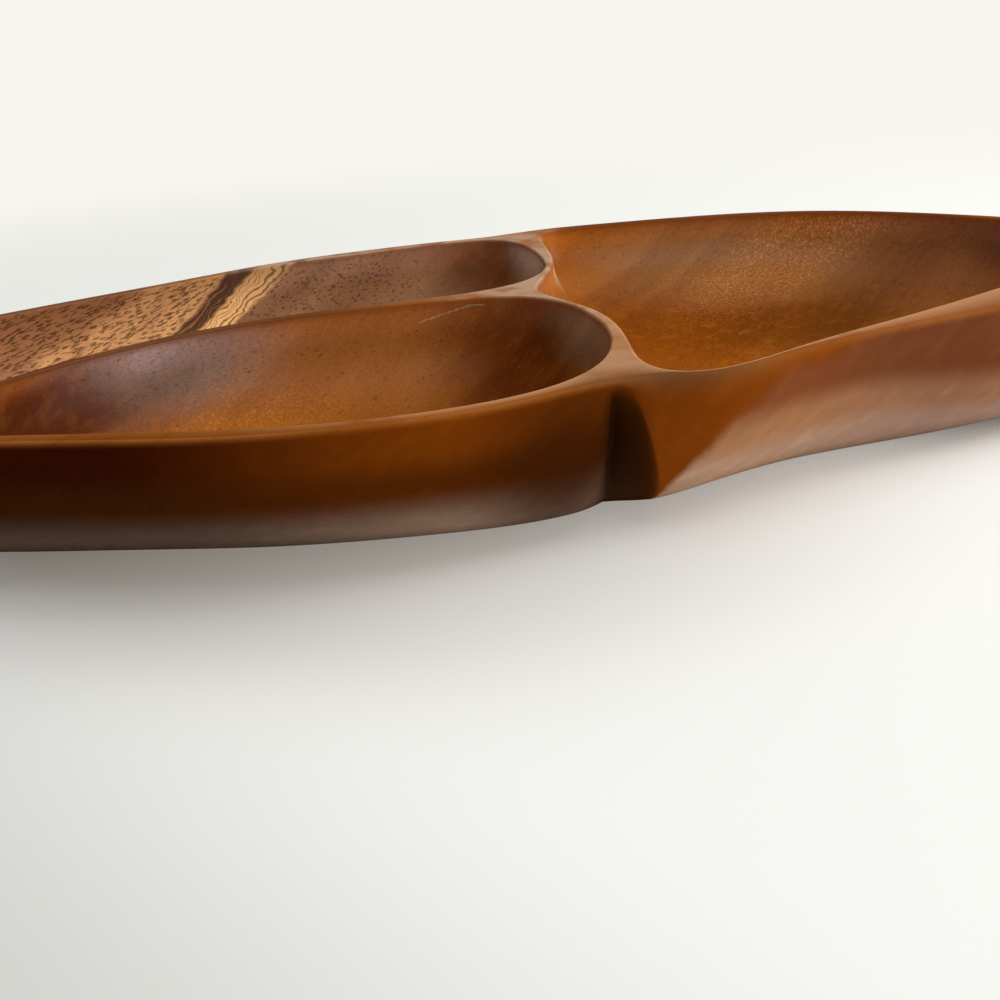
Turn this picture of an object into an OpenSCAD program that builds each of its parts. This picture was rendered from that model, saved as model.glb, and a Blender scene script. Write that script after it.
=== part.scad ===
// Divided serving bowl, three compartments carved into one plank of hardwood.
// Millimetres, +Z up. X runs along the bowl, and the bowl stands on its flat foot at z = 0.
// The near side, with the groove in its wall, faces -Y.

/* [Bowl] */
// Overall length, from tip to tip
bowl_l = 415; // [360:5:470]
// Overall width
bowl_w = 181; // [160:1:205]
// Overall height
bowl_h = 35; // [30:1:42]

/* [Rim and dividers] */
// Width of the flat rim at its narrowest
rim_w = 3.4; // [2.8:0.2:5]
// Thickness of the dividers at their narrowest
divider_w = 2.2; // [1.6:0.2:4]
// Radius of the rim's outer edge
rim_r = 1.4; // [0.8:0.1:2]
// Radius of the edges round each compartment
lip_r = 0.9; // [0.5:0.1:1]

/* [Compartments] */
// Wood left under the compartments
floor_t = 8; // [5:0.5:12]
// Fullness of the hollowed sides: 2 is an ellipse, more is squarer
hollow_power = 2; // [1.8:0.1:3]

/* [Underside] */
// Length of the flat foot
foot_l = 325; // [240:5:350]
// Width of the flat foot
foot_w = 118; // [90:2:140]
// How far the foot lies toward the wide end
foot_shift = 6; // [-10:1:12]
// Fullness of the outer sides: 2 is an ellipse, more is squarer
side_power = 2.2; // [2:0.1:3]

/* [Groove in the near wall] */
// Place of the groove's start along the bowl, from its middle
groove_x = 32.5; // [26:0.5:40]
// Width of the groove at the table
groove_w = 24; // [16:1:32]
// Depth of the groove at its deepest, from the wall
groove_d = 13; // [6:1:18]
// Height of wall left above the groove
groove_below_rim = 1.5; // [1:0.5:6]

/* [Hidden] */
// Run of every cutter past the surface that it opens
overrun = 2;
// Points along a curve for each of its control points
curve_steps = 4;
lip_steps = 3;
side_steps = 9;
groove_steps = 8;
// Start of the groove's sides outside the wall
groove_lead = 0.4;
// Part of the way from a compartment's edge to its middle line where the floor turns flat
floor_reach_share = 0.92;

// Control points of the rim's outer edge, as shares of half the bowl's length and width
rim_share = [
    [1.02, -0.09], [0.97, 0.155], [0.855, 0.485], [0.705, 0.82], [0.53, 0.95],
    [0.355, 0.985], [0.24, 1.01], [0.155, 0.94], [0.055, 0.96], [-0.08, 0.93],
    [-0.21, 0.875], [-0.35, 0.71], [-0.515, 0.555], [-0.71, 0.33], [-0.9, 0.065],
    [-1.03, -0.13], [-0.955, -0.33], [-0.78, -0.55], [-0.59, -0.725], [-0.405, -0.84],
    [-0.225, -0.985], [-0.06, -1.015], [0.075, -0.975], [0.165, -0.865], [0.26, -0.97],
    [0.395, -0.79], [0.57, -0.715], [0.76, -0.62], [0.935, -0.4],
];

// Fullness of the outer side below each of those points, as a share of side_power
side_power_share = [
    1, 1, 1, 1, 1, 1, 1, 1, 1, 1, 1, 1, 1, 1, 1, 1, 1, 1, 1, 1,
    0.93, 0.98, 1.25, 1.6, 0.8, 1, 1.18, 1.45, 1.18,
];

// Control points of the cells that the dividers part, as shares of half the space inside
// the rim. Neighbouring cells touch, and each compartment keeps half a divider inside its cell.
wide_cell_share = [
    [0.985, 0.045], [0.915, 0.31], [0.825, 0.565], [0.7, 0.82], [0.535, 0.935],
    [0.38, 0.985], [0.26, 1.005], [0.225, 0.91], [0.22, 0.68], [0.215, 0.435],
    [0.175, 0.185], [0.145, 0.035], [0.175, -0.11], [0.21, -0.295], [0.21, -0.545],
    [0.19, -0.79], [0.22, -0.925], [0.29, -0.925], [0.39, -0.79], [0.53, -0.672],
    [0.675, -0.515], [0.82, -0.345], [0.94, -0.145],
];
near_cell_share = [
    [-0.62, -0.65], [-0.49, -0.76], [-0.325, -0.87], [-0.145, -0.99], [0.02, -0.98],
    [0.12, -0.895], [0.18, -0.73], [0.205, -0.52], [0.205, -0.32], [0.18, -0.085],
    [0.11, 0.045], [-0.02, 0.045], [-0.175, 0.06], [-0.345, -0.07], [-0.47, -0.285],
    [-0.56, -0.515],
];
far_cell_share = [
    [-0.985, -0.145], [-0.885, -0.375], [-0.745, -0.585], [-0.66, -0.67], [-0.59, -0.57],
    [-0.5, -0.36], [-0.395, -0.125], [-0.26, 0.01], [-0.11, 0.075], [0.03, 0.065],
    [0.14, 0.115], [0.2, 0.29], [0.21, 0.5], [0.205, 0.725], [0.175, 0.93],
    [0.09, 0.97], [-0.05, 0.91], [-0.205, 0.88], [-0.345, 0.71], [-0.52, 0.545],
    [-0.72, 0.315], [-0.885, 0.075],
];

// Middle lines of the cells: start, pull and end of a bent line, as the same shares
wide_line_share = [[0.38, 0.03], [0.55, 0.08], [0.74, 0.03]];
near_line_share = [[-0.42, -0.52], [-0.17, -0.44], [0.04, -0.46]];
far_line_share = [[-0.74, -0.16], [-0.3, 0.42], [0.04, 0.5]];

function halves(l, w) = [l / 2, w / 2];
function times(p, q) = [p.x * q.x, p.y * q.y];

// Space inside the rim, half a divider wider on each side, because every compartment
// starts half a divider inside its cell
cell_half = halves(bowl_l - 2 * rim_w + divider_w, bowl_w - 2 * rim_w + divider_w);

// Smooth closed curve that the control points pull into shape
function curve(pts) = [
    for (i = [0:len(pts) - 1], s = [0:curve_steps - 1])
        let (
            n = len(pts), t = s / curve_steps,
            a = pts[(i + n - 1) % n], b = pts[i], c = pts[(i + 1) % n], d = pts[(i + 2) % n]
        )
        (pow(1 - t, 3) * a + (3 * pow(t, 3) - 6 * pow(t, 2) + 4) * b
         + (-3 * pow(t, 3) + 3 * pow(t, 2) + 3 * t + 1) * c + pow(t, 3) * d) / 6
];

// The curve stretched to fill a length and width round the origin
function fitted(c, l, w) =
    let (
        xs = [for (p = c) p.x], ys = [for (p = c) p.y],
        size = [max(xs) - min(xs), max(ys) - min(ys)],
        mid = [max(xs) + min(xs), max(ys) + min(ys)] / 2
    )
    [for (p = c) [(p.x - mid.x) * l / size.x, (p.y - mid.y) * w / size.y]];

// The curve moved inward by d, where its points run anticlockwise
function inset(c, d) = [
    for (i = [0:len(c) - 1])
        let (n = len(c), run = c[(i + 1) % n] - c[(i + n - 1) % n])
        c[i] + d * [-run.y, run.x] / norm(run)
];

// The curve moved toward another with as many points, by a share of the way
function toward(c, other, s) = [for (i = [0:len(c) - 1]) c[i] + s * (other[i] - c[i])];

function ring(c, z) = [for (p = c) [p.x, p.y, z]];

// Point at t, from 0 to 1, on a line from a to c that b pulls aside
function bent(line, t) =
    pow(1 - t, 2) * line[0] + 2 * t * (1 - t) * line[1] + pow(t, 2) * line[2];

// For each point of the curve, the point of the middle line that lies as far along it
function beside(c, line) =
    let (xs = [for (p = c) p.x], lo = min(xs), hi = max(xs))
    [for (p = c) bent(line, (p.x - lo) / (hi - lo))];

// Share of the way down a side at each of its steps, closer together near its ends
function down_share(step, power) = pow(sin(90 * step / side_steps), 2 / power);

// Share of the way inward, where a side that starts upright has come down by a share
function in_share(down, power) = 1 - pow(max(0, 1 - pow(down, power)), 1 / power);

// Solid through a stack of rings, lowest first, with the first and the last of them level
module loft(rings) {
    n = len(rings[0]);
    k = len(rings);
    polyhedron(
        points = [for (r = rings, p = r) p],
        faces = [
            [for (i = [0:n - 1]) i],
            [for (i = [n - 1:-1:0]) n * (k - 1) + i],
            for (j = [0:k - 2], i = [0:n - 1])
                let (a = j * n + i, b = j * n + (i + 1) % n) each [[a, a + n, b + n], [a, b + n, b]],
        ]
    );
}

rim = fitted(curve(rim_share), bowl_l, bowl_w);
foot = [for (p = rim) [p.x * foot_l / bowl_l + foot_shift, p.y * foot_w / bowl_w]];
fullness = side_power * curve(side_power_share);
side_h = bowl_h - rim_r;

// Ring of the outer side, a share of the way down
function side_ring(down) = [
    for (i = [0:len(rim) - 1])
        let (p = rim[i] + in_share(down, fullness[i]) * (foot[i] - rim[i])) [p.x, p.y, side_h * (1 - down)]
];

// Outside of the bowl: flat foot, curved sides and a rim with a rounded edge
module outside() {
    loft([
        for (step = [side_steps:-1:0]) side_ring(down_share(step, side_power)),
        for (s = [1:lip_steps])
            let (a = 90 * s / lip_steps)
            ring(inset(rim, rim_r * (1 - cos(a))), side_h + rim_r * sin(a)),
    ]);
}

// One compartment: a rounded lip, then a hollow down to a small flat floor
module compartment(cell_share, line_share) {
    edge = inset(curve([for (p = cell_share) times(p, cell_half)]), divider_w / 2);
    middle = beside(edge, [for (p = line_share) times(p, cell_half)]);
    lip_z = bowl_h - lip_r;
    loft([
        for (step = [side_steps:-1:0])
            let (down = down_share(step, hollow_power))
            ring(
                toward(edge, middle, floor_reach_share * in_share(down, hollow_power)),
                lip_z - (lip_z - floor_t) * down
            ),
        for (s = [1:lip_steps])
            let (a = 90 * s / lip_steps)
            ring(inset(edge, -lip_r * (1 - cos(a))), lip_z + lip_r * sin(a)),
        ring(inset(edge, -lip_r), bowl_h + overrun),
    ]);
}

// Depth of the groove's valley, a share of the way down from its start: it deepens quickly,
// and runs out again where the wall turns under the bowl
full_depth_share = 0.6;
fade_share = 0.85;
function eased(t) = let (u = min(1, max(0, t))) u * u * (3 - 2 * u);
function valley_depth(t) =
    groove_d * pow(sin(90 * min(1, t / full_depth_share)), 0.8)
    * (1 - fade_share * eased((t - full_depth_share) / (1 - full_depth_share)));

// Groove that parts the two swellings of the near wall. Its left side eases in from the wall,
// and its right side runs straight in.
module groove() {
    near_side = [for (p = rim) if (p.y < 0) p];
    out_y = -bowl_w / 2 - overrun;
    top_z = bowl_h - groove_below_rim;
    low_z = -overrun;
    soft_shares = [0, 0.35, 0.6, 0.8, 1];
    loft([
        for (step = [groove_steps:-1:0])
            let (
                z = top_z + (low_z - top_z) * step / groove_steps,
                t = min(1, (top_z - z) / top_z),
                s = in_share(min(1, max(0, 1 - z / side_h)), fullness[23 * curve_steps]),
                left = groove_x - groove_w * (0.13 + 0.375 * pow(t, 0.7)),
                valley = groove_x + groove_w * 0.35 * t * (1 - t),
                right = groove_x + groove_w * (0.15 + 0.36 * pow(t, 0.65)),
                depth = valley_depth(t) + groove_lead
            )
            [
                [left, out_y, z], [right, out_y, z],
                [right, wall_y(near_side, right, s) - groove_lead, z],
                for (i = [len(soft_shares) - 1:-1:0])
                    let (u = soft_shares[i], x = left + u * (valley - left))
                    [x, wall_y(near_side, x, s) - groove_lead + depth * pow(u, 2.6), z],
            ]
    ]);
}

// Y of the outer side beside a place along the bowl, where it has come inward by a share
function wall_y(side, x, share) = lookup(x, side) * (1 + share * (foot_w / bowl_w - 1));

module carved_bowl() {
    color("sienna")
        difference() {
            outside();
            compartment(wide_cell_share, wide_line_share);
            compartment(near_cell_share, near_line_share);
            compartment(far_cell_share, far_line_share);
            groove();
        }
}

carved_bowl();
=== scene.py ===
"""Divided serving bowl, carved from one plank of open-pored hardwood and rubbed with oil."""

import math

import bpy
import numpy as np
from mathutils import Matrix, Vector, noise
from mathutils.geometry import delaunay_2d_cdt


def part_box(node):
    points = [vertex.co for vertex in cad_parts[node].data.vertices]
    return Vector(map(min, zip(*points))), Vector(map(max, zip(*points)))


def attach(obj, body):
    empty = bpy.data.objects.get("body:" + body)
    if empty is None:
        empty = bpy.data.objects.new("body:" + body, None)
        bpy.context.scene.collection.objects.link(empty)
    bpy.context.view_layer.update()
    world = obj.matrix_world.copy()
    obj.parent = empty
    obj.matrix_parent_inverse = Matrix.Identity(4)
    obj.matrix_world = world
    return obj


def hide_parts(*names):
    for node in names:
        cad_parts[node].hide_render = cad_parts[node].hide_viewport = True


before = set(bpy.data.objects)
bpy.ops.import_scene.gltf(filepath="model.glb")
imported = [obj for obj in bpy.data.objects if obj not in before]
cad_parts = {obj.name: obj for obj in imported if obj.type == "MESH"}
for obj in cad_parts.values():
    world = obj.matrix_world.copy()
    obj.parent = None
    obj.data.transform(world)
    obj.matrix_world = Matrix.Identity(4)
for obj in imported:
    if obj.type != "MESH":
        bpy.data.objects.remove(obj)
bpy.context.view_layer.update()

# Sizes in millimetres. The bowl's own box gives its length, width and height.
MM = 0.001
bowl_low, bowl_high = (np.array(corner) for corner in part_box("carved_bowl"))
LENGTH, WIDTH, HEIGHT = (bowl_high - bowl_low) / MM
RIM_WIDTH = 3.4
DIVIDER_WIDTH = 2.2
RIM_RADIUS = 1.4
LIP_RADIUS = 0.9
FLOOR_THICKNESS = 8
HOLLOW_POWER = 2.0
FLOOR_REACH = 0.92
FOOT_LENGTH = 325
FOOT_WIDTH = 118
FOOT_SHIFT = 6
SIDE_POWER = 2.2
GROOVE_X = 32.5
GROOVE_WIDTH = 24
GROOVE_DEPTH = 13
GROOVE_TOP = 33.5

# Control points of the rim, as shares of half the length and width
RIM = [
    (1.02, -0.09), (0.97, 0.155), (0.855, 0.485), (0.705, 0.82), (0.53, 0.95),
    (0.355, 0.985), (0.24, 1.01), (0.155, 0.94), (0.055, 0.96), (-0.08, 0.93),
    (-0.21, 0.875), (-0.35, 0.71), (-0.515, 0.555), (-0.71, 0.33), (-0.9, 0.065),
    (-1.03, -0.13), (-0.955, -0.33), (-0.78, -0.55), (-0.59, -0.725), (-0.405, -0.84),
    (-0.225, -0.985), (-0.06, -1.015), (0.075, -0.975), (0.165, -0.865), (0.26, -0.97),
    (0.395, -0.79), (0.57, -0.715), (0.76, -0.62), (0.935, -0.4),
]
# Control points of the three compartments, as shares of half the space inside the rim,
# each with the line that the bottom of the compartment follows
WIDE = [
    (0.985, 0.045), (0.915, 0.31), (0.825, 0.565), (0.7, 0.82), (0.535, 0.935),
    (0.38, 0.985), (0.26, 1.005), (0.225, 0.91), (0.22, 0.68), (0.215, 0.435),
    (0.175, 0.185), (0.145, 0.035), (0.175, -0.11), (0.21, -0.295), (0.21, -0.545),
    (0.19, -0.79), (0.22, -0.925), (0.29, -0.925), (0.39, -0.79), (0.53, -0.672),
    (0.675, -0.515), (0.82, -0.345), (0.94, -0.145),
]
NEAR = [
    (-0.62, -0.65), (-0.49, -0.76), (-0.325, -0.87), (-0.145, -0.99), (0.02, -0.98),
    (0.12, -0.895), (0.18, -0.73), (0.205, -0.52), (0.205, -0.32), (0.18, -0.085),
    (0.11, 0.045), (-0.02, 0.045), (-0.175, 0.06), (-0.345, -0.07), (-0.47, -0.285),
    (-0.56, -0.515),
]
FAR = [
    (-0.985, -0.145), (-0.885, -0.375), (-0.745, -0.585), (-0.66, -0.67), (-0.59, -0.57),
    (-0.5, -0.36), (-0.395, -0.125), (-0.26, 0.01), (-0.11, 0.075), (0.03, 0.065),
    (0.14, 0.115), (0.2, 0.29), (0.21, 0.5), (0.205, 0.725), (0.175, 0.93),
    (0.09, 0.97), (-0.05, 0.91), (-0.205, 0.88), (-0.345, 0.71), (-0.52, 0.545),
    (-0.72, 0.315), (-0.885, 0.075),
]
# Fullness of the outer wall at the rim's control points: 2 is an ellipse, more is squarer
FULLNESS = [2.2] * 20 + [2.05, 2.15, 2.75, 3.5, 1.75, 2.2, 2.6, 3.2, 2.6]
WIDE_LINE = [(0.38, 0.03), (0.55, 0.08), (0.74, 0.03)]
NEAR_LINE = [(-0.42, -0.52), (-0.17, -0.44), (0.04, -0.46)]
FAR_LINE = [(-0.74, -0.16), (-0.3, 0.42), (0.04, 0.5)]


def smooth_step(x):
    x = np.clip(x, 0, 1)
    return x * x * (3 - 2 * x)


def spline_at(points, places):
    """Points of a closed cubic B-spline at places counted in control points."""
    points = np.asarray(points, float)
    first = np.floor(places).astype(int)
    t = (places - first)[:, None]
    a, b, c, d = (points[(first + k) % len(points)] for k in (-1, 0, 1, 2))
    return ((1 - t) ** 3 * a + (3 * t**3 - 6 * t**2 + 4) * b
            + (-3 * t**3 + 3 * t**2 + 3 * t + 1) * c + t**3 * d) / 6


def even_places(points, steps):
    return np.arange(len(points) * steps) / steps


def inward(loop):
    """Unit vectors that point into an anticlockwise loop."""
    run = np.roll(loop, -1, 0) - np.roll(loop, 1, 0)
    run /= np.linalg.norm(run, axis=1)[:, None]
    return np.stack([-run[:, 1], run[:, 0]], 1)


def inside(loop, points):
    """True for each point that lies inside the loop."""
    x, y = points[:, 0:1], points[:, 1:2]
    a, b = loop, np.roll(loop, -1, 0)
    crosses = (a[:, 1] > y) != (b[:, 1] > y)
    rise = np.where(b[:, 1] == a[:, 1], 1e-9, b[:, 1] - a[:, 1])
    at = a[:, 0] + (y - a[:, 1]) * (b[:, 0] - a[:, 0]) / rise
    return (crosses & (x < at)).sum(1) % 2 == 1


def bent(line, t):
    line, t = np.asarray(line, float), t[:, None]
    return (1 - t) ** 2 * line[0] + 2 * t * (1 - t) * line[1] + t**2 * line[2]


class Skin:
    """Vertices and faces of one surface, laid in rings, with the marks that the finish reads."""

    def __init__(self):
        self.points, self.faces = [], []
        self.marks = {"worn": [], "notch": [], "hollow": [], "far": [], "lip": []}

    def add(self, ring, **marks):
        start = len(self.points)
        self.points.extend(map(tuple, ring))
        for name, values in self.marks.items():
            values.extend(np.broadcast_to(marks.get(name, 0.0), len(ring)))
        return list(range(start, start + len(ring)))

    def wall(self, lower, upper):
        """Quads between two rings. They face outwards when both run anticlockwise from above."""
        n = len(lower)
        for i in range(n):
            j = (i + 1) % n
            self.faces.append((lower[i], lower[j], upper[j], upper[i]))


def with_height(loop, z):
    return np.column_stack([loop, np.broadcast_to(z, len(loop))])


skin = Skin()
half_bowl = np.array([LENGTH, WIDTH]) / 2
half_cells = half_bowl - RIM_WIDTH + DIVIDER_WIDTH / 2

# The rim's outline, stretched to the bowl's length and width
STEPS = 16  # places for each control point
fine = spline_at(RIM, even_places(RIM, STEPS))
rim_middle = (fine.max(0) + fine.min(0)) / 2
rim_scale = np.array([LENGTH, WIDTH]) / (fine.max(0) - fine.min(0))


def rim_at(places):
    return (spline_at(RIM, places) - rim_middle) * rim_scale


# Places along the rim: even ones, but for the stretch of near wall that holds the groove
NEAR_START, NEAR_END, NEAR_STEPS = 21.6, 25.2, 1200
near_fine = np.linspace(NEAR_START, NEAR_END, NEAR_STEPS)
near_x = rim_at(near_fine)[:, 0]
even = even_places(RIM, STEPS)
before, after = even[even < NEAR_START - 0.02], even[even > NEAR_END + 0.02]
# Shares of the way from the stretch's start to the groove's left edge, its valley, its
# right edge and the stretch's end
LEFT_STEPS, SOFT_STEPS, FACE_STEPS, RIGHT_STEPS = 34, 22, 16, 34
left_shares = np.linspace(0, 1, LEFT_STEPS, endpoint=False)
soft_shares = np.linspace(0, 1, SOFT_STEPS, endpoint=False)
face_shares = np.linspace(0, 1, FACE_STEPS, endpoint=False)
right_shares = np.concatenate([[0, 0.006, 0.02], np.linspace(0.05, 1, RIGHT_STEPS)])


# Shares of the groove's width from its middle to its edges at the top, and their spread at
# the foot. The valley leans right between them, and is deepest this share of the way down.
LEFT_TOP, LEFT_SPREAD, LEFT_CURVE = 0.13, 0.375, 0.7
RIGHT_TOP, RIGHT_SPREAD, RIGHT_CURVE = 0.15, 0.36, 0.65
VALLEY_LEAN, DEEPEST, FOOT_SHALLOWING = 0.35, 0.6, 0.85


def groove_lines(z):
    """X of the groove's left edge, valley and right edge, and the valley's depth, at height z."""
    t = np.clip((GROOVE_TOP - z) / GROOVE_TOP, 0, 1)
    left = GROOVE_X - GROOVE_WIDTH * (LEFT_TOP + LEFT_SPREAD * t**LEFT_CURVE)
    valley = GROOVE_X + GROOVE_WIDTH * VALLEY_LEAN * t * (1 - t)
    right = GROOVE_X + GROOVE_WIDTH * (RIGHT_TOP + RIGHT_SPREAD * t**RIGHT_CURVE)
    deepening = np.sin(math.pi / 2 * np.clip(t / DEEPEST, 0, 1)) ** 0.8
    fading = 1 - FOOT_SHALLOWING * smooth_step((t - DEEPEST) / (1 - DEEPEST))
    return left, valley, right, GROOVE_DEPTH * deepening * fading


def wall_ring(z):
    """Places along the rim of the columns of the outer wall, at height z."""
    left, valley, right, depth = groove_lines(z)
    start, end = near_x[0], near_x[-1]
    target = np.concatenate([
        start + (left - start) * left_shares,
        left + (valley - left) * soft_shares,
        valley + (right - valley) * face_shares,
        right + (end - right) * right_shares,
    ])
    near_places = np.interp(target, near_x, near_fine)
    return np.concatenate([before, near_places, after])


def groove_push(z):
    """How far each column of the near stretch is pushed in at height z, for all the columns."""
    depth = groove_lines(z)[3]
    push = np.concatenate([
        np.zeros(LEFT_STEPS),
        depth * soft_shares**2.6,
        depth * (1 - face_shares),
        np.zeros(len(right_shares)),
    ])
    return np.concatenate([np.zeros(len(before)), push, np.zeros(len(after))])


def groove_mark(z):
    """How far inside the groove each column lies, which the finish paints as shade over end grain
    that oils darker. The soft side darkens slowly.
    """
    t = float(np.clip((GROOVE_TOP - z) / GROOVE_TOP, 0, 1))
    mark = np.concatenate([
        np.zeros(LEFT_STEPS), soft_shares**1.7, 1 - face_shares**12, np.zeros(len(right_shares))])
    mark = np.concatenate([np.zeros(len(before)), mark, np.zeros(len(after))])
    return mark * smooth_step(t / 0.1)


def side_power(places):
    """Fullness of the wall: full by the groove, and sloping right of it."""
    return spline_at(np.array(FULLNESS)[:, None], places)[:, 0]


def mouth_of(cell):
    """Upper edge of a compartment, half a divider inside its cell."""
    loop = spline_at(cell, even_places(cell, STEPS)) * half_cells
    return loop + inward(loop) * DIVIDER_WIDTH / 2


ALL_MOUTHS = np.concatenate([mouth_of(cell) for cell in (WIDE, NEAR, FAR)])


ROLL_START, ROLL_END, ROLL_FADE = 33, 96, 40
ROLL_WIDTH, ROLL_DROP = 1.6, 4.2
FLAT_STRIP, LEAST_EDGE = 0.45, 0.5


def rim_edge(loop):
    """Width and drop of the rim's rounded outer edge, which rolls over softly right of the groove
    and leaves a flat strip beside the compartments' own rounded edges."""
    x, y = loop[:, 0], loop[:, 1]
    roll = smooth_step(-y / 20) * smooth_step((x - ROLL_START) / 9)
    roll = roll * smooth_step((ROLL_END - x) / ROLL_FADE)
    gap = np.linalg.norm(loop[:, None] - ALL_MOUTHS[None], axis=2).min(1)
    room = np.maximum(LEAST_EDGE, gap - LIP_RADIUS - FLAT_STRIP)
    return np.minimum(RIM_RADIUS + ROLL_WIDTH * roll, room), RIM_RADIUS + ROLL_DROP * roll


# Size and height of the small unevenness that a carver's gouge and sandpaper leave
SIDE_WAVES = (34, 0.35)
HOLLOW_WAVES = (26, 0.5)


def hand_waves(points, waves, seed):
    size, height = waves
    shift = Vector((seed * 7.3, seed * 3.1, seed * 5.7))
    return np.array([noise.noise(Vector(p) / size + shift) for p in points]) * height


SIDE_RINGS, EDGE_RINGS = 34, 7
INWARD = 0.15  # the outer wall's waves lie mostly inside its plain shape
rings = []
for k in range(SIDE_RINGS, -1, -1):
    angle = math.pi / 2 * k / SIDE_RINGS
    # heights follow the plain profile, and each column's share inward its own fullness
    down = math.sin(angle) ** (2 / SIDE_POWER)
    z_plain = (HEIGHT - RIM_RADIUS) * (1 - down)
    places = wall_ring(z_plain)
    loop = rim_at(places)
    top = HEIGHT - rim_edge(loop)[1]
    z = top * (1 - down)
    power = side_power(places)
    share = 1 - np.clip(1 - down**power, 0, 1) ** (1 / power)
    foot = loop * [FOOT_LENGTH / LENGTH, FOOT_WIDTH / WIDTH] + [FOOT_SHIFT, 0]
    ring = loop + share[:, None] * (foot - loop)
    ring = ring + groove_push(z_plain)[:, None] * [0.0, 1.0]
    fading = math.sin(math.pi * min(1, down * 1.1)) ** 0.5
    wave = np.clip(hand_waves(with_height(ring, z), SIDE_WAVES, 1) * fading + INWARD, 0, None)
    ring = ring + inward(ring) * wave[:, None] * (0 < k < SIDE_RINGS)
    rings.append(skin.add(with_height(ring, z), notch=groove_mark(z_plain)))
loop = rim_at(wall_ring(HEIGHT))
width, drop = rim_edge(loop)
for k in range(1, EDGE_RINGS + 1):
    angle = math.pi / 2 * k / EDGE_RINGS
    ring = loop + inward(loop) * (width * (1 - math.cos(angle)))[:, None]
    z = HEIGHT - drop * (1 - math.sin(angle))
    rings.append(skin.add(with_height(ring, z), worn=math.sin(angle) ** 2))
for lower, upper in zip(rings, rings[1:]):
    skin.wall(lower, upper)

# The flat foot, closed by rings towards its middle
FOOT_MIDDLE = (FOOT_SHIFT, -4)
FOOT_RINGS = 8
foot_loop = np.array([skin.points[i][:2] for i in rings[0]])
foot_middle = skin.add([FOOT_MIDDLE + (0,)])[0]
inner = rings[0]
for k in range(1, FOOT_RINGS):
    loop = foot_loop + (np.array(FOOT_MIDDLE) - foot_loop) * k / FOOT_RINGS
    outer, inner = inner, skin.add(with_height(loop, 0.0))
    skin.wall(inner, outer)
for i in range(len(inner)):
    skin.faces.append((foot_middle, inner[(i + 1) % len(inner)], inner[i]))

# A narrow ring on the flat beside each rounded edge keeps the shading of the flat even
SUPPORT = 0.15
rim_loop = np.array([skin.points[i][:2] for i in rings[-1]])
support = skin.add(with_height(rim_loop + inward(rim_loop) * SUPPORT, HEIGHT), worn=0.5)
skin.wall(rings[-1], support)
top_loops = [support]

# The three compartments
HOLLOW_RINGS, LIP_RINGS, FLOOR_RINGS = 34, 6, 9
FLOOR_END = 0.985
COMPARTMENTS = (("wide", WIDE, WIDE_LINE, 2), ("near", NEAR, NEAR_LINE, 3),
                ("far", FAR, FAR_LINE, 4))
for name, cell, line, seed in COMPARTMENTS:
    edge = mouth_of(cell)
    along = (edge[:, 0] - edge[:, 0].min()) / (edge[:, 0].max() - edge[:, 0].min())
    middle = bent(np.asarray(line) * half_cells, along)
    lip_z = HEIGHT - LIP_RADIUS
    stack = []
    for k in range(FLOOR_RINGS):
        share = FLOOR_END - (FLOOR_END - FLOOR_REACH) * k / FLOOR_RINGS
        loop = edge + share * (middle - edge)
        stack.append((loop, np.full(len(loop), float(FLOOR_THICKNESS)), 0.0))
    for k in range(HOLLOW_RINGS, -1, -1):
        angle = math.pi / 2 * k / HOLLOW_RINGS
        share = FLOOR_REACH * (1 - math.cos(angle) ** (2 / HOLLOW_POWER))
        down = math.sin(angle) ** (2 / HOLLOW_POWER)
        loop = edge + share * (middle - edge)
        z = np.full(len(loop), lip_z - (lip_z - FLOOR_THICKNESS) * down)
        stack.append((loop, z, 0.15 * (1 - down) ** 2))
    for k in range(1, LIP_RINGS + 1):
        angle = math.pi / 2 * k / LIP_RINGS
        loop = edge - inward(edge) * LIP_RADIUS * (1 - math.cos(angle))
        z = np.full(len(loop), lip_z + LIP_RADIUS * math.sin(angle))
        stack.append((loop, z, 0.2 + 0.8 * math.sin(angle) ** 2))
    made = []
    for loop, z, worn in stack:
        depth = (HEIGHT - z) / (HEIGHT - FLOOR_THICKNESS)
        wave = hand_waves(with_height(loop, z), HOLLOW_WAVES, seed) * smooth_step(depth * 2)
        made.append(skin.add(with_height(loop, z + wave), worn=worn, hollow=smooth_step(depth * 20),
                             far=name == "far", lip=smooth_step((z - lip_z) / LIP_RADIUS * 3)))
    for lower, upper in zip(made, made[1:]):
        skin.wall(upper, lower)
    # the last sliver of floor, closed from its left end to its right end
    n, last = len(made[0]), made[0]
    a = b = int(np.argmin(along))
    while (b - a) % n != n - 1:
        a2, b2 = (a - 1) % n, (b + 1) % n
        if a == b:
            skin.faces.append((last[a], last[b2], last[a2]))
        elif a2 == b2:
            skin.faces.append((last[a], last[b], last[a2]))
            break
        else:
            skin.faces.append((last[a], last[b], last[b2], last[a2]))
        a, b = a2, b2
    lip_loop = np.array([skin.points[i][:2] for i in made[-1]])
    lip_support = skin.add(with_height(lip_loop - inward(edge) * SUPPORT, HEIGHT),
                           worn=0.8, far=name == "far", lip=0.8)
    skin.wall(lip_support, made[-1])
    top_loops.append(lip_support)

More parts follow.
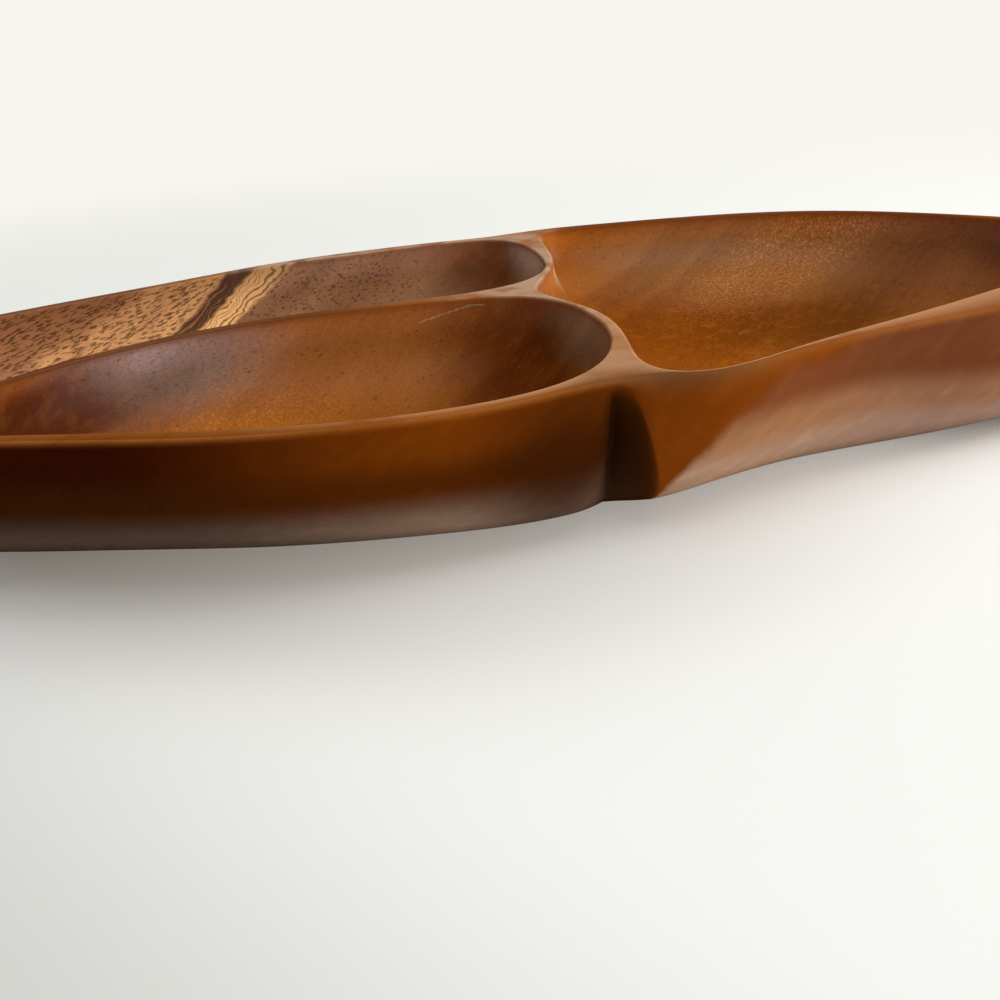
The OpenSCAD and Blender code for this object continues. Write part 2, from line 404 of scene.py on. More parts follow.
# The flat rim and the dividers' tops, round the three mouths
flat = np.array([skin.points[i][:2] for loop in top_loops for i in loop])
index = [i for loop in top_loops for i in loop]
edges, start = [], 0
for loop in top_loops:
    n = len(loop)
    edges += [(start + i, start + (i + 1) % n) for i in range(n)]
    start += n
outline = flat[:len(top_loops[0])]
mouths, start = [], len(top_loops[0])
for loop in top_loops[1:]:
    mouths.append(flat[start:start + len(loop)])
    start += len(loop)
corners, _, triangles, origin, _, _ = delaunay_2d_cdt([Vector(p) for p in flat], edges, [], 0, 1e-6)
where = [index[source[0]] if source else None for source in origin]
corners = np.array([tuple(c) for c in corners])
centres = np.array([corners[list(t)].mean(0) for t in triangles])
keep = inside(outline, centres)
for mouth in mouths:
    keep &= ~inside(mouth, centres)
for ok, triangle in zip(keep, triangles):
    if ok and all(where[i] is not None for i in triangle):
        skin.faces.append(tuple(where[i] for i in triangle))

mesh = bpy.data.meshes.new("carved_bowl_wood")
mesh.from_pydata((np.array(skin.points) * MM).tolist(), [], skin.faces)
for label, values in skin.marks.items():
    mark = mesh.attributes.new(label, "FLOAT", "POINT")
    mark.data.foreach_set("value", np.array(values, np.float32))
mesh.validate()
for face in mesh.polygons:
    face.use_smooth = True
bowl = bpy.data.objects.new("carved_bowl_wood", mesh)
bpy.context.scene.collection.objects.link(bowl)


# Node trees


class Bench:
    """Lays the nodes of one tree."""

    def __init__(self, tree):
        self.tree = tree

    def feed(self, socket, value):
        if isinstance(value, bpy.types.NodeSocket):
            self.tree.links.new(value, socket)
        elif value is not None:
            socket.default_value = value

    def node(self, kind, inputs=(), **settings):
        made = self.tree.nodes.new("ShaderNode" + kind)
        for key, value in settings.items():
            setattr(made, key, value)
        for key, value in dict(inputs).items():
            self.feed(made.inputs[key], value)
        return made

    def maths(self, operation, a, b, clamp=False):
        made = self.node("Math", operation=operation, use_clamp=clamp)
        self.feed(made.inputs[0], a)
        self.feed(made.inputs[1], b)
        return made.outputs[0]

    def plus(self, a, b):
        return self.maths("ADD", a, b)

    def minus(self, a, b, clamp=False):
        return self.maths("SUBTRACT", a, b, clamp)

    def times(self, a, b, clamp=False):
        return self.maths("MULTIPLY", a, b, clamp)

    def most(self, a, b):
        return self.maths("MAXIMUM", a, b)

    def vector(self, operation, a, b=None, scale=None):
        made = self.node("VectorMath", operation=operation)
        self.feed(made.inputs[0], a)
        self.feed(made.inputs[1], b)
        if scale is not None:
            self.feed(made.inputs["Scale"], scale)
        return made.outputs["Value" if operation in ("DOT_PRODUCT", "LENGTH") else "Vector"]

    def parts(self, vector):
        """X, Y and Z of a vector."""
        return self.node("SeparateXYZ", {"Vector": vector}).outputs

    def joined(self, x, y, z):
        return self.node("CombineXYZ", {"X": x, "Y": y, "Z": z}).outputs[0]

    def between(self, value, low, high, smooth=True):
        """0 up to low and 1 from high on, or the reverse where low is the higher of the two."""
        made = self.node("MapRange", interpolation_type="SMOOTHSTEP" if smooth else "LINEAR")
        for key, v in (("Value", value), ("From Min", low), ("From Max", high)):
            self.feed(made.inputs[key], v)
        return made.outputs["Result"]

    def mix(self, share, low, high, blend="MIX"):
        made = self.node("Mix", data_type="RGBA", blend_type=blend)
        for key, v in ((0, share), (6, low), (7, high)):
            self.feed(made.inputs[key], v)
        return made.outputs[2]

    def tinted(self, share, colour, tint):
        """A colour times a tint, over a share of the surface."""
        return self.mix(share, colour, tint + (1,), blend="MULTIPLY")

    def noise(self, place, size=1.0, detail=2.0, roughness=0.5, distortion=0.0):
        made = self.node("TexNoise", {"Vector": place, "Scale": 1 / size, "Detail": detail,
                                      "Roughness": roughness, "Distortion": distortion})
        return made.outputs["Fac"]

    def sway(self, place, reach, detail, size=1.0):
        """Noise about zero, which reaches half as far to each side."""
        return self.times(self.minus(self.noise(place, size, detail), 0.5), reach)

    def line_noise(self, w, detail):
        """Noise along one line."""
        made = self.node("TexNoise", {"W": w, "Scale": 1.0, "Detail": detail},
                         noise_dimensions="1D")
        return made.outputs["Fac"]

    def stretched(self, place, sizes):
        return self.vector("DIVIDE", place, sizes)


def effect(name, takes, gives):
    """An empty node group: its bench, its inputs and its outputs."""
    tree = bpy.data.node_groups.new(name, "ShaderNodeTree")
    for label, value in takes.items():
        kind = {float: "NodeSocketFloat", tuple: "NodeSocketVector"}[type(value)]
        socket = tree.interface.new_socket(label, in_out="INPUT", socket_type=kind)
        socket.default_value = value
    for label, kind in gives.items():
        tree.interface.new_socket(label, in_out="OUTPUT", socket_type="NodeSocket" + kind)
    inside_in, inside_out = tree.nodes.new("NodeGroupInput"), tree.nodes.new("NodeGroupOutput")
    return Bench(tree), inside_in.outputs, inside_out.inputs


def use(bench, name, **inputs):
    """Places a group in a material and returns its outputs."""
    made = bench.node("Group", node_tree=bpy.data.node_groups[name])
    for key, value in inputs.items():
        bench.feed(made.inputs[key.replace("_", " ").capitalize()], value)
    return made.outputs


ORIGIN, ALONG_X, ALONG_Z = (0.0, 0.0, 0.0), (1.0, 0.0, 0.0), (0.0, 0.0, 1.0)

# Point in millimetres along the fibre, across it, and outward through the growth rings
b, i, o = effect("grain_lay", {"Point": ORIGIN, "Along": ALONG_X, "Outward": ALONG_Z},
                 {"Laid": "Vector"})
in_mm = b.vector("SCALE", i["Point"], scale=1000.0)
side = b.vector("CROSS_PRODUCT", i["Outward"], i["Along"])
b.feed(o["Laid"], b.joined(b.vector("DOT_PRODUCT", in_mm, i["Along"]),
                           b.vector("DOT_PRODUCT", in_mm, side),
                           b.vector("DOT_PRODUCT", in_mm, i["Outward"])))

# Growth rings: broad bands and fine late lines, which wander as the tree did
b, i, o = effect("growth_rings", {"Laid": ORIGIN, "Wander": 12.0, "Spacing": 9.0},
                 {"Bands": "Float", "Lines": "Float"})
RIPPLE = 2.4
drift = b.sway(b.stretched(i["Laid"], (120.0, 38.0, 38.0)), i["Wander"], detail=1.5)
ripple = b.sway(b.stretched(i["Laid"], (26.0, 7.0, 7.0)), RIPPLE, detail=2.0)
ring = b.plus(b.plus(b.parts(i["Laid"])["Z"], drift), ripple)
turn = b.maths("DIVIDE", ring, i["Spacing"])
b.feed(o["Bands"], b.between(b.line_noise(turn, 1.0), 0.32, 0.68))
b.feed(o["Lines"], b.between(b.line_noise(b.times(turn, 6.0), 2.0), 0.52, 0.7))

# Open pores: dashes along the fibre, in a share of the places where one could lie
b, i, o = effect("open_pores", {"Laid": ORIGIN, "Length": 3.0, "Width": 0.7, "Share": 0.4},
                 {"Pores": "Float"})
LARGEST_PORE = 0.46
cell = b.joined(i["Length"], i["Width"], i["Width"])
wobble = b.node("TexNoise", {"Vector": b.stretched(i["Laid"], (5.0, 2.0, 2.0)), "Detail": 1.0})
wobble = b.vector("SUBTRACT", wobble.outputs["Color"], (0.5, 0.5, 0.5))
wobble = b.vector("SCALE", wobble, scale=0.9)
moved = b.vector("ADD", i["Laid"], wobble)
cells = b.node("TexVoronoi", {"Vector": b.vector("DIVIDE", moved, cell), "Scale": 1.0,
                              "Randomness": 1.0}, feature="F1")
chance = b.parts(cells.outputs["Color"])["X"]
reach = b.times(b.between(b.minus(i["Share"], chance), -0.05, 0.12), LARGEST_PORE)
b.feed(o["Pores"], b.between(b.minus(reach, cells.outputs["Distance"]), 0.0, 0.2))

# Vessel lines: ragged dark dashes along the fibre where the pores stand close together
b, i, o = effect("vessel_lines", {"Laid": ORIGIN, "Length": 3.0, "Width": 0.55, "Share": 0.4},
                 {"Lines": "Float"})
EDGE_BLUR = 0.035
cell = b.joined(i["Length"], i["Width"], b.times(i["Width"], 2.0))
streaks = b.noise(b.vector("DIVIDE", i["Laid"], cell), detail=1.5, roughness=0.45)
edge = b.minus(0.72, b.times(i["Share"], 0.35))
b.feed(o["Lines"], b.between(streaks, b.minus(edge, EDGE_BLUR), b.plus(edge, EDGE_BLUR)))

# Curled grain: fine flecks, which the wood paints lighter as glints of caught light
b, i, o = effect("curled_grain", {"Laid": ORIGIN, "Size": 1.0}, {"Curl": "Float"})
place = b.vector("DIVIDE", b.stretched(i["Laid"], (1.5, 0.6, 0.6)),
                 b.joined(i["Size"], i["Size"], i["Size"]))
fleck = b.noise(place, detail=2.0, roughness=0.6, distortion=1.2)
b.feed(o["Curl"], b.between(fleck, 0.36, 0.66))

# How deep a point lies along a direction, where the layers of the wood wander and fray
b, i, o = effect("wandering_depth", {"Point": ORIGIN, "Direction": ALONG_Z, "Wander": 4.0,
                                     "Fray": 1.0}, {"Depth": "Float"})
depth = b.vector("DOT_PRODUCT", i["Point"], i["Direction"])
wander = b.sway(i["Point"], i["Wander"], detail=1.0, size=24.0)
fray = b.sway(b.stretched(i["Point"], (5.0, 5.0, 1.6)), i["Fray"], detail=1.0)
b.feed(o["Depth"], b.plus(depth, b.plus(wander, fray)))

# A layer of the wood between two such depths
b, i, o = effect("wood_layer", {"Depth": 0.0, "Lower": 0.0, "Upper": 1.0, "Softness": 1.0},
                 {"Layer": "Float"})
before_edge = b.times(i["Softness"], -1.0)
enter = b.between(b.minus(i["Depth"], i["Lower"]), before_edge, i["Softness"])
leave = b.between(b.minus(i["Depth"], i["Upper"]), before_edge, i["Softness"])
b.feed(o["Layer"], b.minus(enter, leave, clamp=True))

# A zone of the wood round a place, whose edge a ragged pattern frays
b, i, o = effect("colour_zone", {"Point": ORIGIN, "Centre": ORIGIN, "Reach": (10.0, 10.0, 10.0),
                                 "Softness": 0.5, "Rag": 0.5, "Ragged": 0.3}, {"Zone": "Float"})
away = b.vector("SUBTRACT", i["Point"], i["Centre"])
away = b.vector("LENGTH", b.vector("DIVIDE", away, i["Reach"]))
away = b.plus(away, b.times(b.minus(i["Rag"], 0.5), b.times(i["Ragged"], 2.0)))
zone = b.between(away, b.minus(1.0, i["Softness"]), b.plus(1.0, i["Softness"]))
b.feed(o["Zone"], b.minus(1.0, zone))

# A light scratch from one place to another
b, i, o = effect("light_scratch", {"Point": ORIGIN, "Start": ORIGIN, "End": ALONG_X, "Width": 0.3},
                 {"Scratch": "Float"})
run = b.vector("SUBTRACT", i["End"], i["Start"])
rel = b.vector("SUBTRACT", i["Point"], i["Start"])
t = b.maths("DIVIDE", b.vector("DOT_PRODUCT", rel, run), b.vector("DOT_PRODUCT", run, run),
            clamp=True)
gap = b.vector("LENGTH", b.vector("SUBTRACT", rel, b.vector("SCALE", run, scale=t)))
gap = b.plus(gap, b.sway(i["Point"], b.times(i["Width"], 1.6), detail=0.0, size=1.2))
b.feed(o["Scratch"], b.minus(1.0, b.between(gap, b.times(i["Width"], 0.3), i["Width"])))

# Edges painted pale: partly rubbed by hands and cloths, partly a painted sheen
b, i, o = effect("pale_edge_wear_and_sheen", {"Point": ORIGIN, "Edge": 0.0, "Amount": 0.6}, {"Sheen_and_wear": "Float"})
patch = b.between(b.noise(i["Point"], 9.0, detail=1.5), 0.25, 0.6)
b.feed(o["Sheen_and_wear"], b.times(b.times(i["Edge"], i["Amount"]), patch, clamp=True))


# The wood: an orange-brown heart, purple-brown in the far compartment and pale sapwood at its left
wood = bpy.data.materials.new("oiled_hardwood")
wood.use_nodes = True
wood.node_tree.nodes.clear()
b = Bench(wood.node_tree)
point = b.node("TexCoord").outputs["Object"]
mm = b.vector("SCALE", point, scale=1000.0)
at = b.parts(mm)
laid = use(b, "grain_lay", point=point, along=(0.915, 0.1, 0.39),
           outward=(0.60, -0.36, -0.714))["Laid"]
rings_of = use(b, "growth_rings", laid=laid, wander=26.0, spacing=14.0)
curl = use(b, "curled_grain", laid=laid, size=0.8)["Curl"]
sap_laid = use(b, "grain_lay", point=point, along=(0.863, 0.446, 0.238),
               outward=(0.348, -0.866, 0.360))["Laid"]
sap_pores = use(b, "open_pores", laid=b.stretched(sap_laid, (1.0, 1.0, 1.7)), length=3.6,
                width=0.8, share=0.75)["Pores"]
vessels = use(b, "vessel_lines", laid=sap_laid, length=2.6, width=0.5, share=0.42)["Lines"]
mottle = b.noise(b.stretched(laid, (9.0, 3.5, 3.5)), detail=2.5, roughness=0.6)
rag = b.noise(b.stretched(mm, (16.0, 9.0, 9.0)), detail=2.0)

HEART = (0.25, 0.072, 0.010, 1)
GOLD = (0.36, 0.120, 0.024, 1)
DARK_HEART = (0.12, 0.034, 0.006, 1)
PURPLE = (0.270, 0.128, 0.062, 1)
RED_BROWN = (0.395, 0.166, 0.070, 1)
SAP = (0.565, 0.265, 0.117, 1)
SAP_GOLD = (0.72, 0.36, 0.140, 1)
STREAK = (0.093, 0.040, 0.020, 1)
PORE = (0.070, 0.024, 0.009, 1)
PALE_WEAR_AND_SHEEN = (0.48, 0.32, 0.205, 1)


def mask(name):
    """One of the marks that the mesh carries."""
    return b.node("Attribute", attribute_name=name).outputs["Fac"]


def level(axis, low, high):
    """A share that goes from 0 to 1 between two places on an axis."""
    return b.between(at[axis], low, high)


def both(*shares):
    """The product of several shares."""
    total = shares[0]
    for share in shares[1:]:
        total = b.times(total, share)
    return total


def but(share):
    """What a share leaves over."""
    return b.minus(1.0, share, clamp=True)


def zone_at(centre, reach, softness, ragged=0.3):
    """A colour zone of this wood, in millimetres."""
    return use(b, "colour_zone", point=mm, centre=centre, reach=reach, softness=softness, rag=rag,
               ragged=ragged)["Zone"]


hollow, edge_mark, notch_mark, lip_mark = mask("hollow"), mask("worn"), mask("notch"), mask("lip")
outer = but(b.most(hollow, edge_mark))
far_side = b.most(mask("far"), both(outer, level("Y", 2.0, 16.0)))
near_side = level("Y", 20.0, -20.0)

# heart of the plank, with the zones where it is more golden, redder or darker. Their tones also
# carry light and shade: the darkest zones are partly painted shade, and the greyish ones partly a
# painted sheen
colour = b.mix(both(rings_of["Bands"], 0.5), HEART, GOLD)
colour = b.mix(both(rings_of["Lines"], 0.16), colour, DARK_HEART)
colour = b.mix(both(far_side, but(level("X", 34.0, 46.0)), 0.92), colour, PURPLE)
# centre and reach in mm, softness, amount, shine and tone
TONE_SHADE_AND_SHEEN_ZONES = (
    ((58, 82, 28), (24, 20, 16), 0.6, 0.8, 0.2, (0.275, 0.074, 0.0035)),
    ((97, 71, 20), (36, 26, 12), 0.7, 0.7, 0.6, (0.295, 0.128, 0.041)),
    ((72, 30, 9), (40, 44, 10), 0.6, 0.85, 0.0, (0.195, 0.046, 0.001)),
    ((122, 34, 9), (40, 26, 9), 0.7, 0.75, 0.0, (0.086, 0.021, 0.001)),
    ((128, 58, 23), (40, 17, 12), 0.6, 0.7, 0.5, (0.265, 0.106, 0.026)),
    ((176, 36, 26), (34, 30, 16), 0.7, 0.7, 0.0, (0.235, 0.088, 0.035)),
    ((187, 31, 28), (12, 16, 10), 0.6, 0.8, 0.0, (0.130, 0.045, 0.017)),
    ((-66, -11, 28), (36, 17, 11), 0.55, 0.85, 0.8, (0.250, 0.178, 0.138)),
    ((-97, -30, 24), (30, 30, 10), 0.6, 0.9, 0.0, (0.066, 0.0105, 0.001)),
    ((-43, -16, 13), (34, 24, 8), 0.6, 0.8, 0.1, (0.275, 0.080, 0.0055)),
    ((-50, -16, 12), (24, 14, 4), 0.6, 0.6, 0.3, (0.355, 0.120, 0.010)),
    ((4, -24, 11), (32, 13, 8), 0.7, 0.85, 0.0, (0.125, 0.030, 0.001)),
    ((-15, -2, 22), (30, 26, 15), 0.7, 0.75, 0.2, (0.345, 0.118, 0.023)),
    ((25, -6, 22), (20, 28, 17), 0.7, 0.85, 0.0, (0.117, 0.022, 0.001)),
    ((41, -28, 30), (8, 22, 8), 0.7, 0.75, 0.5, (0.330, 0.205, 0.102)),
    ((31, 79, 28), (17, 15, 15), 0.7, 0.8, 0.0, (0.135, 0.027, 0.0018)),
    ((43, 58, 32), (8, 17, 8), 0.7, 0.9, 0.6, (0.47, 0.350, 0.225)),
)
polish = 0.0
for centre, reach, softness, amount, shine, tone in TONE_SHADE_AND_SHEEN_ZONES:
    zone = zone_at(centre, reach, softness)
    colour = b.mix(both(zone, hollow, amount), colour, tone + (1,))
    if shine:
        polish = b.most(polish, both(zone, shine))

# outer wall: dark at the left, which is partly painted shade, and orange towards the groove; darker
# half way down, a painted shade; painted shade beside the groove; and paler and pinker where it
# turns under, partly a painted glow of light from the white table
wall = b.mix(level("X", -70.0, 0.0), (0.040, 0.0050, 0.0007, 1), (0.215, 0.045, 0.0022, 1))
shaded_belly = b.mix(level("X", -70.0, -10.0), (0.057, 0.015, 0.0024, 1), (0.084, 0.0182, 0.0016, 1))
wall = b.mix(both(but(level("Z", 21.0, 30.0)), 0.85), wall, shaded_belly)
painted_table_glow = b.mix(level("X", -60.0, 5.0), (0.185, 0.123, 0.090, 1), (0.395, 0.265, 0.185, 1))
wall = b.mix(both(but(level("Z", 7.0, 20.0)), 0.9), wall, painted_table_glow)
shade = zone_at((22, -86, 18), (17, 18, 20), 0.75, ragged=0.1)
wall = b.mix(both(shade, 0.88), wall, (0.045, 0.010, 0.0016, 1))
# past the groove a slanting line parts the orange wood from the paler, pinker wood below it, whose
# paleness is partly a painted glow of light from the table
rise = b.maths("POWER", b.between(at["X"], 42.0, 71.0, smooth=False), 0.5)
slope = b.minus(at["Z"], b.minus(both(rise, 33.0), 1.0))
slope = b.plus(slope, b.sway(mm, 5.0, detail=3.0, size=6.0))
slope = b.minus(slope, both(level("X", 80.0, 100.0), 5.0))
# towards the right end the colours of that wood lie lower
height = b.plus(at["Z"], both(level("X", 95.0, 128.0), 4.0))
pink_and_table_glow = b.mix(b.between(height, 10.0, 19.0), (0.53, 0.325, 0.214, 1), (0.43, 0.198, 0.091, 1))
pink_and_table_glow = b.mix(b.between(height, 19.0, 27.0), pink_and_table_glow, (0.232, 0.068, 0.022, 1))
pink_and_table_glow = b.tinted(both(level("X", 74.0, 112.0), 0.8), pink_and_table_glow, (0.76, 0.76, 0.90))
right = b.mix(b.between(slope, -2.5, 2.5), pink_and_table_glow, (0.240, 0.052, 0.004, 1))
wall = b.mix(both(level("X", 36.0, 42.0), near_side), wall, right)
wall = b.tinted(both(b.between(mottle, 0.4, 0.8), 0.5), wall, (1.35, 1.4, 1.5))
colour = b.mix(both(outer, 0.98), colour, wall)

# figure: slanting bands, mottling, curl whose flecks are painted lighter as glints of light, more
# painted glints, and pores, which stand close together in the far compartment
colour = b.tinted(both(rings_of["Bands"], hollow, 0.7), colour, (0.66, 0.61, 0.56))
colour = b.tinted(both(rings_of["Lines"], hollow, 0.12), colour, (0.70, 0.66, 0.62))
colour = b.mix(both(b.minus(mottle, 0.5, clamp=True), hollow, 0.7), colour, GOLD)
slant = use(b, "wandering_depth", point=mm, direction=(0.45, -0.25, -0.865), wander=10.0,
            fray=4.0)["Depth"]
curled = use(b, "wood_layer", depth=slant, lower=11.0, upper=33.0, softness=7.0)["Layer"]
curled = both(curled, level("X", 60.0, 100.0))
# painted highlights: the curl's flecks lighter, and fine glints, most in the curled band and the
# golden zone
colour = b.tinted(both(curl, hollow, b.plus(0.3, both(curled, 0.32))), colour, (1.9, 1.85, 2.0))
glints = use(b, "vessel_lines", laid=laid, length=0.9, width=0.45, share=0.42)["Lines"]
golden = zone_at((-44, -18, 12), (25, 17, 7), 0.8, ragged=0.4)
glow = b.plus(0.06, b.plus(both(golden, 0.25), both(curled, 0.4)))
colour = b.tinted(both(glints, glow, hollow), colour, (2.1, 2.1, 2.1))
pocket = both(far_side, but(level("X", -14.0, 16.0)))
heart_pores = use(b, "open_pores", laid=b.stretched(sap_laid, (1.0, 1.0, 1.4)), length=2.0,
                  width=0.7, share=b.plus(0.16, both(pocket, 0.54)))["Pores"]
heart_pores = both(heart_pores, hollow, b.plus(0.45, both(pocket, 0.35)))
colour = b.mix(heart_pores, colour, PORE)

# painted light and shade: the compartments' walls are painted paler towards the rim and a little
# darker half way down
upper = level("Z", 25.0, 33.5)
colour = b.tinted(both(upper, hollow), colour, (1.85, 2.0, 2.5))
middle = both(level("Z", 10.0, 15.0), but(level("Z", 20.0, 26.0)))
colour = b.tinted(both(middle, hollow), colour, (0.92, 0.90, 0.86))

# sapwood and streaks at the far left
plain_depth = b.plus(b.vector("DOT_PRODUCT", mm, (0.725, -0.31, -0.615)), 83.6)
plain_depth = b.times(plain_depth, b.minus(1.35, both(at["Z"], 0.013)))
sap_depth = use(b, "wandering_depth", point=b.joined(plain_depth, at["Y"], at["Z"]),
                direction=ALONG_X, wander=3.0, fray=2.2)["Depth"]


def layer(lower, upper, softness):
    """A layer by the sapwood's edge, on the far side of the bowl."""
    found = use(b, "wood_layer", depth=sap_depth, lower=lower, upper=upper, softness=softness)
    return both(found["Layer"], far_side)


NO_LOWER_END, NO_UPPER_END = -400.0, 400.0
brown_left = layer(NO_LOWER_END, 0.0, 0.8)
colour = b.mix(brown_left, colour, RED_BROWN)
sap_floor = use(b, "wandering_depth", point=mm, direction=(0.447, 0.0, -0.894), wander=7.0,
                fray=4.0)["Depth"]
below = use(b, "wood_layer", depth=sap_floor, lower=-66.9, upper=NO_UPPER_END,
            softness=2.6)["Layer"]
tone = b.noise(b.stretched(laid, (14.0, 3.0, 3.0)), detail=2.0)
colour = b.mix(both(brown_left, below), colour, b.mix(b.between(tone, 0.3, 0.7), SAP, SAP_GOLD))
colour = b.mix(both(layer(-3.4, 0.4, 0.8), below), colour, SAP_GOLD)
dark_streak = layer(0.9, 5.7, 0.7)
colour = b.mix(dark_streak, colour, STREAK)
gold_streak = layer(5.9, 12.6, 0.7)
colour = b.mix(gold_streak, colour, (0.88, 0.465, 0.183, 1))
thread = b.line_noise(both(b.plus(sap_depth, both(b.noise(mm, 9.0, detail=1.5), 5.0)), 1.1), 1.0)
colour = b.mix(both(b.between(thread, 0.5, 0.62), gold_streak, 0.75), colour, STREAK)
split = both(b.between(thread, 0.5, 0.38), dark_streak, but(level("Z", 29.0, 33.0)))
colour = b.mix(both(split, 0.55), colour, RED_BROWN)
pores = both(b.most(sap_pores, both(vessels, 0.85)), brown_left)
colour = b.mix(both(pores, hollow, 0.8), colour, PORE)
# fine dark flecks, within the zone that carries the painted grey sheen
painted_sheen_zone = zone_at((-66, -11, 28), (36, 17, 11), 0.5)
flecks = use(b, "open_pores", laid=b.stretched(mm, (1.0, 1.0, 0.6)), length=2.4, width=0.5,
             share=0.5)["Pores"]
colour = b.mix(both(flecks, painted_sheen_zone, hollow, 0.45), colour, (0.09, 0.035, 0.020, 1))

# pale wear and painted sheen on the rims, a darker crest and web, painted shade in the groove, and
# the marks of use
far_web = zone_at((38, 18, 35), (26, 58, 12), 0.5, ragged=0.15)
near_web = zone_at((44, -72, 35), (20, 14, 12), 0.6, ragged=0.15)
far_rim_sheen = both(level("Y", 62.0, 68.0), level("X", -58.0, -50.0), but(level("X", 40.0, 60.0)))
wear_and_sheen = use(b, "pale_edge_wear_and_sheen", point=mm, edge=both(edge_mark, b.most(far_web, far_rim_sheen)),
             amount=1.0)["Sheen_and_wear"]
dark_crest = both(level("Y", -45.0, -36.0), but(level("X", -34.0, 6.0)))
dark_crest = b.most(dark_crest, both(level("Y", 30.0, 45.0), level("X", 46.0, 66.0)))
colour = b.mix(both(edge_mark, dark_crest, 0.85), colour, (0.100, 0.036, 0.014, 1))
colour = b.mix(both(edge_mark, near_web, 0.85), colour, (0.120, 0.058, 0.024, 1))
colour = b.mix(both(wear_and_sheen, 0.9), colour, PALE_WEAR_AND_SHEEN)
# a thin pale line along the lips: partly worn by hands, partly a painted highlight
handled_and_highlight = both(level("X", 36.0, 48.0), but(level("Y", -10.0, 20.0)))
handled_and_highlight = b.most(handled_and_highlight, both(level("X", -60.0, 20.0), but(level("Y", -60.0, -44.0))))
handled_and_highlight = both(lip_mark, handled_and_highlight, b.between(b.noise(mm, 12.0), 0.15, 0.5))
colour = b.mix(both(handled_and_highlight, 0.75), colour, (0.55, 0.290, 0.150, 1))
# painted shade in the groove, over end grain that oils a little darker
colour = b.mix(both(notch_mark, 0.93), colour, (0.062, 0.017, 0.0024, 1))
SCRATCH = ((0.0, 2.6, 29.8), (13.8, 2.2, 33.0), (17.8, 1.5, 32.8))
scratch = 0.0
for start, end in zip(SCRATCH, SCRATCH[1:]):
    stroke = use(b, "light_scratch", point=mm, start=start, end=end, width=0.35)["Scratch"]
    scratch = b.most(scratch, stroke)
colour = b.mix(both(scratch, 0.7), colour, (0.58, 0.38, 0.22, 1))

open_grain = b.most(pores, both(heart_pores, but(brown_left)))
bump = b.node("Bump", {"Height": b.minus(both(curl, 0.10), open_grain), "Strength": 0.3,
                       "Distance": 0.0004})
rough = b.plus(0.36, both(b.noise(mm, 14.0, detail=3.0), 0.16))
rough = b.plus(rough, both(notch_mark, 0.35))
gloss = both(but(b.most(notch_mark, outer)), b.plus(0.03, both(polish, 0.17)))
shader = b.node("BsdfPrincipled", {"Base Color": colour, "Roughness": rough,
                                   "Normal": bump.outputs[0], "Coat Weight": gloss,
                                   "Coat Roughness": 0.24, "IOR": 1.45, "Specular IOR Level": 0.0})
b.node("OutputMaterial", {"Surface": shader.outputs[0]})
mesh.materials.append(wood)

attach(bowl, "root")
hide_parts("carved_bowl")


# Floor, light and camera

REACH = 8.0
corners = [(-REACH, -REACH, 0), (REACH, -REACH, 0), (REACH, REACH, 0), (-REACH, REACH, 0)]
table_mesh = bpy.data.meshes.new("table_top")
table_mesh.from_pydata(corners, [], [(0, 1, 2, 3)])
table = bpy.data.objects.new("table_top", table_mesh)
bpy.context.scene.collection.objects.link(table)
PALE = (0.93, 0.921, 0.862, 1)


def seen_by(b):
    """1 for rays that show a surface as it looks, and 0 for those that carry its light."""
    path = b.node("LightPath").outputs
    return b.most(b.most(path["Is Camera Ray"], path["Is Glossy Ray"]), path["Is Transmission Ray"])


# A matt white table that fades into the pale room a little way from the bowl
paint = bpy.data.materials.new("white_table")
paint.use_nodes = True
paint.node_tree.nodes.clear()
b = Bench(paint.node_tree)
place = b.node("TexCoord").outputs["Object"]
across = b.parts(place)
away = b.vector("LENGTH", place)
glow_share = b.plus(0.12, b.times(b.between(away, 0.16, 0.7), 0.88))
# painted shade: it is greyer at the front left; and close before the bowl a painted shadow colour,
# lighter towards the right, takes the place of part of the real shadow
dim = b.between(b.vector("DOT_PRODUCT", place, (-0.75, -0.66, 0.0)), 0.10, 0.20)
dim = b.times(dim, b.minus(1.0, b.between(away, 0.2, 0.5)))
white = b.mix(dim, (0.85, 0.842, 0.806, 1), (0.545, 0.540, 0.510, 1))
close = b.times(b.minus(1.0, b.between(away, 0.10, 0.17)), b.between(across["Y"], 0.0, -0.05))
shadow = b.mix(b.between(across["X"], -0.1, 0.1, smooth=False), (0.34, 0.30, 0.26, 1),
               (0.75, 0.70, 0.65, 1))
glow_share = b.most(glow_share, b.times(close, 0.55))
glow = b.node("Emission", {"Color": b.mix(close, PALE, shadow), "Strength": 1.0})
matt = b.node("BsdfPrincipled", {"Base Color": white, "Roughness": 0.7, "Specular IOR Level": 0.2})
lit = b.node("MixShader", {0: b.times(seen_by(b), glow_share)})
b.feed(lit.inputs[1], matt.outputs[0])
b.feed(lit.inputs[2], glow.outputs[0])
b.node("OutputMaterial", {"Surface": lit.outputs[0]})
table_mesh.materials.append(paint)

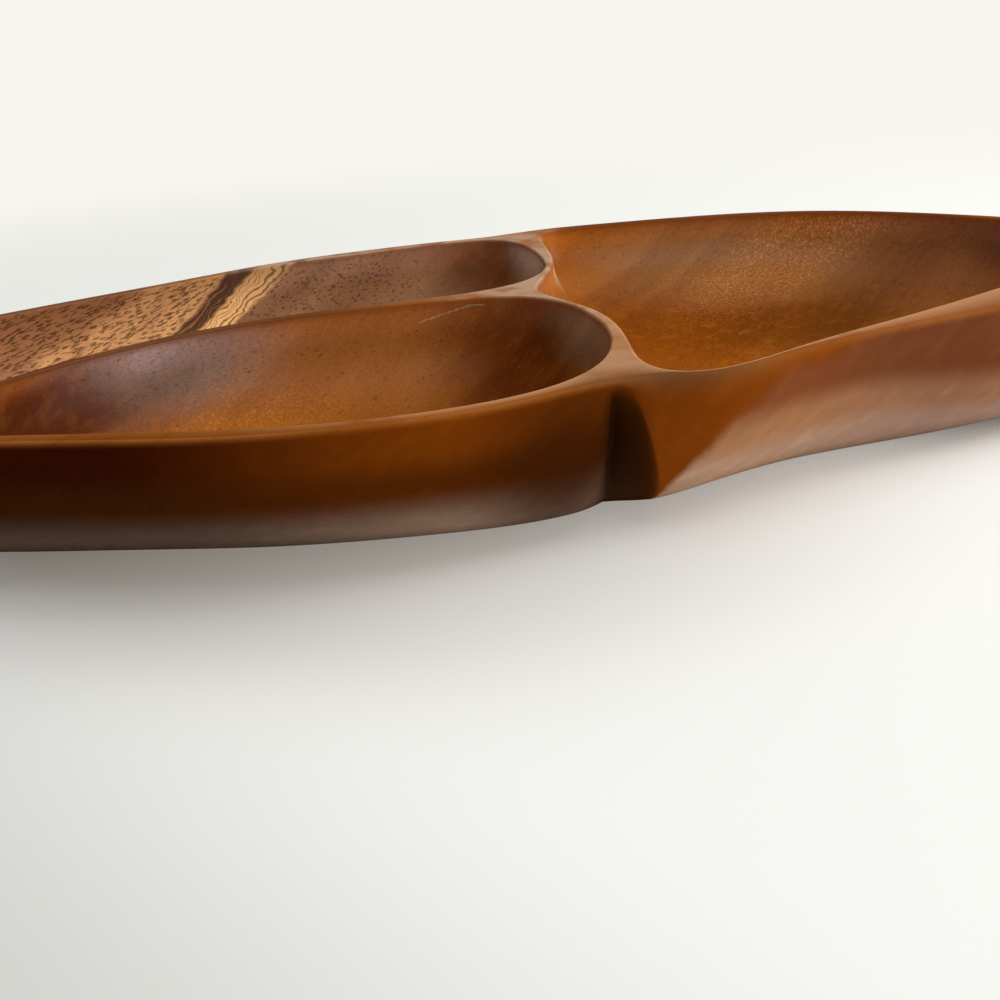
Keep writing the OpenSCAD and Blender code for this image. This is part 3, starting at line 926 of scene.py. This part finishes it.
# A pale room, bright overhead and behind the bowl and dim in front of it
world = bpy.data.worlds.new("pale_room")
bpy.context.scene.world = world
world.use_nodes = True
world.node_tree.nodes.clear()
b = Bench(world.node_tree)
way = b.node("TexCoord").outputs["Generated"]
soft = b.between(b.vector("DOT_PRODUCT", way, (0.6, 0.1, 0.75)), -0.2, 0.8)
sharp = b.between(b.vector("DOT_PRODUCT", way, (0.8, 0.15, 0.75)), 0.12, 0.62)
DAYLIGHT = (0.96, 0.98, 1.0, 1)
room = b.node("Background", {"Color": DAYLIGHT, "Strength": b.plus(0.14, b.times(soft, 0.31))})
shine = b.node("Background", {"Color": DAYLIGHT, "Strength": b.plus(0.03, b.times(sharp, 0.75))})
pale = b.node("Background", {"Color": PALE, "Strength": 1.0})
path = b.node("LightPath").outputs
mirrored = b.node("MixShader", {0: b.most(path["Is Glossy Ray"], path["Is Transmission Ray"])})
b.feed(mirrored.inputs[1], room.outputs[0])
b.feed(mirrored.inputs[2], shine.outputs[0])
sky = b.node("MixShader", {0: path["Is Camera Ray"]})
b.feed(sky.inputs[1], mirrored.outputs[0])
b.feed(sky.inputs[2], pale.outputs[0])
b.node("OutputWorld", {"Surface": sky.outputs[0]})


def lamp(name, place, aim, width, height, watts, colour):
    """A soft rectangular light that faces a point."""
    data = bpy.data.lights.new(name, "AREA")
    data.shape, data.size, data.size_y = "RECTANGLE", width, height
    data.energy, data.color = watts, colour
    made = bpy.data.objects.new(name, data)
    made.location = place
    made.rotation_euler = (Vector(aim) - Vector(place)).to_track_quat("-Z", "Y").to_euler()
    bpy.context.scene.collection.objects.link(made)


lamp("window", (1.45, 0.2, 0.95), (0, 0, 0), 1.1, 0.9, 19.5, (1.0, 0.98, 0.95))
lamp("fill", (0.55, -0.42, 0.30), (0.08, -0.04, 0.0), 0.35, 0.25, 0.6, (1.0, 0.99, 0.97))
lamp("ceiling", (0.3, -0.2, 1.5), (0, 0, 0), 1.0, 1.0, 10.6, (0.95, 0.975, 1.0))

camera_data = bpy.data.cameras.new("camera")
camera_data.sensor_width = 36
camera_data.lens = 39.6
camera_data.clip_start, camera_data.clip_end = 0.01, 50
camera = bpy.data.objects.new("camera", camera_data)
heading, pitch, roll = (math.radians(a) for a in (7.1, 24.0, 4.5))
camera.rotation_mode = "QUATERNION"
turn = (Matrix.Rotation(-heading, 3, "Z") @ Matrix.Rotation(math.pi / 2 - pitch, 3, "X")
        @ Matrix.Rotation(-roll, 3, "Z"))
camera.rotation_quaternion = turn.to_quaternion()
camera.location = (-0.01835, -0.2877, 0.105)
bpy.context.scene.collection.objects.link(camera)
bpy.context.scene.camera = camera

bpy.context.scene.view_settings.view_transform = "Standard"
